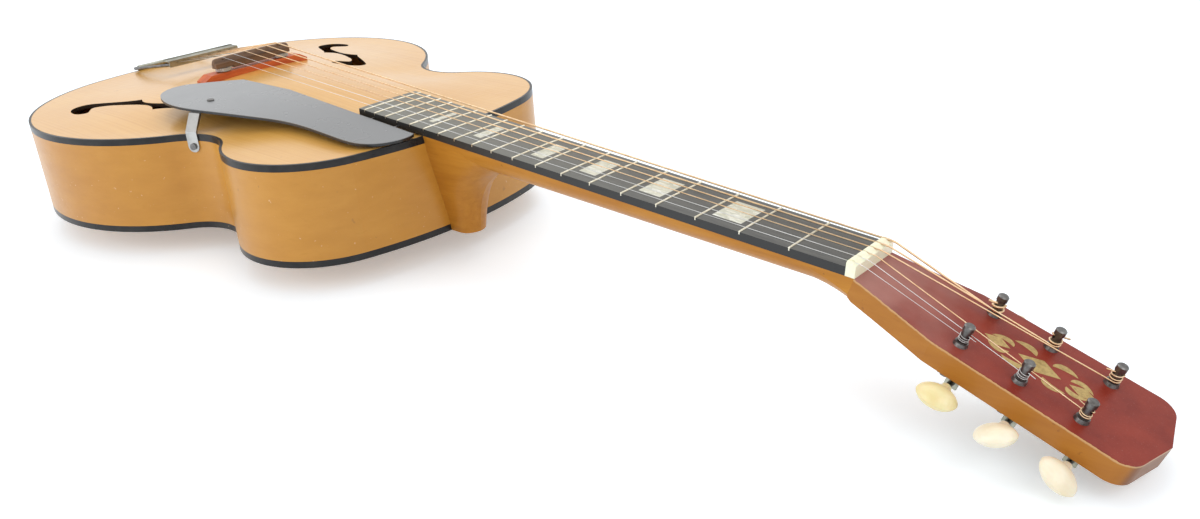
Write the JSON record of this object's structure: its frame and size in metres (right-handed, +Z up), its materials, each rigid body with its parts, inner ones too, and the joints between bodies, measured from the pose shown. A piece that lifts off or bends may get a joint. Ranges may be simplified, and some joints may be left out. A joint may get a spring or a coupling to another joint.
{
  "type": "archtop guitar",
  "caption": "Acoustic archtop guitar with f-holes, floating bridge on thumbwheels, trapeze tailpiece, raised pickguard and open worm-and-gear tuners that turn.",
  "frame": {"origin": "under the middle of the instrument, on the surface that the crown of its back rests on", "axes": "+X from the tail to the head, +Y to the bass side, +Z up, out of the top"},
  "size_m": [1.0084, 0.3916, 0.1395],
  "materials": {
    "top_spruce": "honey lacquer over spruce, fine long grain",
    "side_maple": "amber lacquer over plain maple, scuffed",
    "black_binding": "black celluloid, worn edges",
    "inner_wood": "bare wood",
    "neck_wood": "amber lacquer, maroon painted head face",
    "dark_board": "ebonised hardwood",
    "fret_brass": "worn brass",
    "pearloid": "pearl plastic",
    "cream_nut": "aged bone",
    "black_guard": "glossy black celluloid",
    "nickel": "nickel plate",
    "aged_nickel": "dull aged nickel plate",
    "red_wood": "red stained hardwood",
    "rosewood": "rosewood, oiled",
    "cream_button": "aged cream celluloid",
    "bronze_wire": "bronze wound wire",
    "steel_wire": "plain steel wire"
  },
  "bodies": {
    "guitar": {"top_plate": "top_spruce", "back_plate": "side_maple", "treble_side": "side_maple", "bass_side": "side_maple", "top_binding": "black_binding", "back_binding": "black_binding", "linings": "inner_wood", "neck_block": "inner_wood", "tail_block": "inner_wood", "tone_bars": "inner_wood", "back_braces": "inner_wood", "neck": "neck_wood", "fingerboard": "dark_board", "frets": "fret_brass", "position_markers": "pearloid", "nut": "cream_nut", "pickguard": "black_guard", "pickguard_bracket": "nickel", "pickguard_fasteners": "nickel", "bridge_base": "red_wood", "bridge_studs": "nickel", "tailpiece_hanger": "aged_nickel", "tailpiece_screws": "nickel", "end_pin": "black_guard", "tuner_plate_bass": "aged_nickel", "tuner_plate_treble": "aged_nickel", "tuner_screws": "nickel", "post_bushings": "aged_nickel", "string_low_e": "bronze_wire", "string_a": "bronze_wire", "string_d": "bronze_wire", "string_g": "bronze_wire", "string_b": "steel_wire", "string_high_e": "steel_wire"},
    "saddle": {"bridge_saddle": "rosewood"},
    "thumbwheel_treble": {"bridge_thumbwheel_treble": "nickel"},
    "thumbwheel_bass": {"bridge_thumbwheel_bass": "nickel"},
    "tailpiece": {"tailpiece_trapeze": "aged_nickel", "tailpiece_bar": "aged_nickel", "string_ball_ends": "bronze_wire"},
    "worm_low_e": {"tuner_worm_low_e": "aged_nickel", "tuner_button_low_e": "cream_button"},
    "post_low_e": {"tuner_post_low_e": "aged_nickel"},
    "worm_a": {"tuner_worm_a": "aged_nickel", "tuner_button_a": "cream_button"},
    "post_a": {"tuner_post_a": "aged_nickel"},
    "worm_d": {"tuner_worm_d": "aged_nickel", "tuner_button_d": "cream_button"},
    "post_d": {"tuner_post_d": "aged_nickel"},
    "worm_g": {"tuner_worm_g": "aged_nickel", "tuner_button_g": "cream_button"},
    "post_g": {"tuner_post_g": "aged_nickel"},
    "worm_b": {"tuner_worm_b": "aged_nickel", "tuner_button_b": "cream_button"},
    "post_b": {"tuner_post_b": "aged_nickel"},
    "worm_high_e": {"tuner_worm_high_e": "aged_nickel", "tuner_button_high_e": "cream_button"},
    "post_high_e": {"tuner_post_high_e": "aged_nickel"}
  },
  "joints": [
    {"name": "saddle_height", "type": "slide", "parent": "guitar", "child": "saddle", "axis": [0, 0, 1], "range_m": [-0.0007, 0.003], "deforming": ["string_low_e", "string_a", "string_d", "string_g", "string_b", "string_high_e"]},
    {"name": "thumbwheel_treble_turn", "type": "hinge", "parent": "saddle", "child": "thumbwheel_treble", "pos_m": [-0.30369, -0.031, 0.12596], "axis": [0, 0, 1], "range_deg": [-360, 1542.86]},
    {"name": "thumbwheel_bass_turn", "type": "hinge", "parent": "saddle", "child": "thumbwheel_bass", "pos_m": [-0.30369, 0.031, 0.12596], "axis": [0, 0, 1], "range_deg": [-360, 1542.86]},
    {"name": "tailpiece_hinge", "type": "hinge", "parent": "guitar", "child": "tailpiece", "pos_m": [-0.49001, 0, 0.1077], "axis": [0, -1, 0], "range_deg": [-0.22, 0.92]},
    {"name": "tuner_low_e_button", "type": "hinge", "parent": "guitar", "child": "worm_low_e", "pos_m": [0.40478, 0.0213, 0.03647], "axis": [0, 1, 0], "continuous": true},
    {"name": "tuner_low_e_post", "type": "hinge", "parent": "guitar", "child": "post_low_e", "pos_m": [0.40461, 0.0213, 0.05615], "axis": [0.3322, 0, 0.9432], "continuous": true, "deforming": ["string_low_e"]},
    {"name": "tuner_a_button", "type": "hinge", "parent": "guitar", "child": "worm_a", "pos_m": [0.43629, 0.0213, 0.02538], "axis": [0, 1, 0], "continuous": true},
    {"name": "tuner_a_post", "type": "hinge", "parent": "guitar", "child": "post_a", "pos_m": [0.43611, 0.0213, 0.04505], "axis": [0.3322, 0, 0.9432], "continuous": true, "deforming": ["string_a"]},
    {"name": "tuner_d_button", "type": "hinge", "parent": "guitar", "child": "worm_d", "pos_m": [0.46779, 0.0213, 0.01428], "axis": [0, 1, 0], "continuous": true},
    {"name": "tuner_d_post", "type": "hinge", "parent": "guitar", "child": "post_d", "pos_m": [0.46762, 0.0213, 0.03396], "axis": [0.3322, 0, 0.9432], "continuous": true, "deforming": ["string_d"]},
    {"name": "tuner_g_button", "type": "hinge", "parent": "guitar", "child": "worm_g", "pos_m": [0.46779, -0.0213, 0.01428], "axis": [0, 1, 0], "continuous": true},
    {"name": "tuner_g_post", "type": "hinge", "parent": "guitar", "child": "post_g", "pos_m": [0.46762, -0.0213, 0.03396], "axis": [0.3322, 0, 0.9432], "continuous": true, "deforming": ["string_g"]},
    {"name": "tuner_b_button", "type": "hinge", "parent": "guitar", "child": "worm_b", "pos_m": [0.43629, -0.0213, 0.02538], "axis": [0, 1, 0], "continuous": true},
    {"name": "tuner_b_post", "type": "hinge", "parent": "guitar", "child": "post_b", "pos_m": [0.43611, -0.0213, 0.04505], "axis": [0.3322, 0, 0.9432], "continuous": true, "deforming": ["string_b"]},
    {"name": "tuner_high_e_button", "type": "hinge", "parent": "guitar", "child": "worm_high_e", "pos_m": [0.40478, -0.0213, 0.03647], "axis": [0, 1, 0], "continuous": true},
    {"name": "tuner_high_e_post", "type": "hinge", "parent": "guitar", "child": "post_high_e", "pos_m": [0.40461, -0.0213, 0.05615], "axis": [0.3322, 0, 0.9432], "continuous": true, "deforming": ["string_high_e"]}
  ],
  "couplings": [
    {"joint": "thumbwheel_bass_turn", "follows": "thumbwheel_treble_turn", "ratio": 1},
    {"joint": "saddle_height", "follows": "thumbwheel_treble_turn", "m_per_rad": 0.00011141},
    {"joint": "tailpiece_hinge", "follows": "thumbwheel_treble_turn", "ratio": 0.00059792},
    {"joint": "tuner_low_e_post", "follows": "tuner_low_e_button", "ratio": -0.071429},
    {"joint": "tuner_a_post", "follows": "tuner_a_button", "ratio": -0.071429},
    {"joint": "tuner_d_post", "follows": "tuner_d_button", "ratio": -0.071429},
    {"joint": "tuner_g_post", "follows": "tuner_g_button", "ratio": -0.071429},
    {"joint": "tuner_b_post", "follows": "tuner_b_button", "ratio": -0.071429},
    {"joint": "tuner_high_e_post", "follows": "tuner_high_e_button", "ratio": -0.071429}
  ]
}
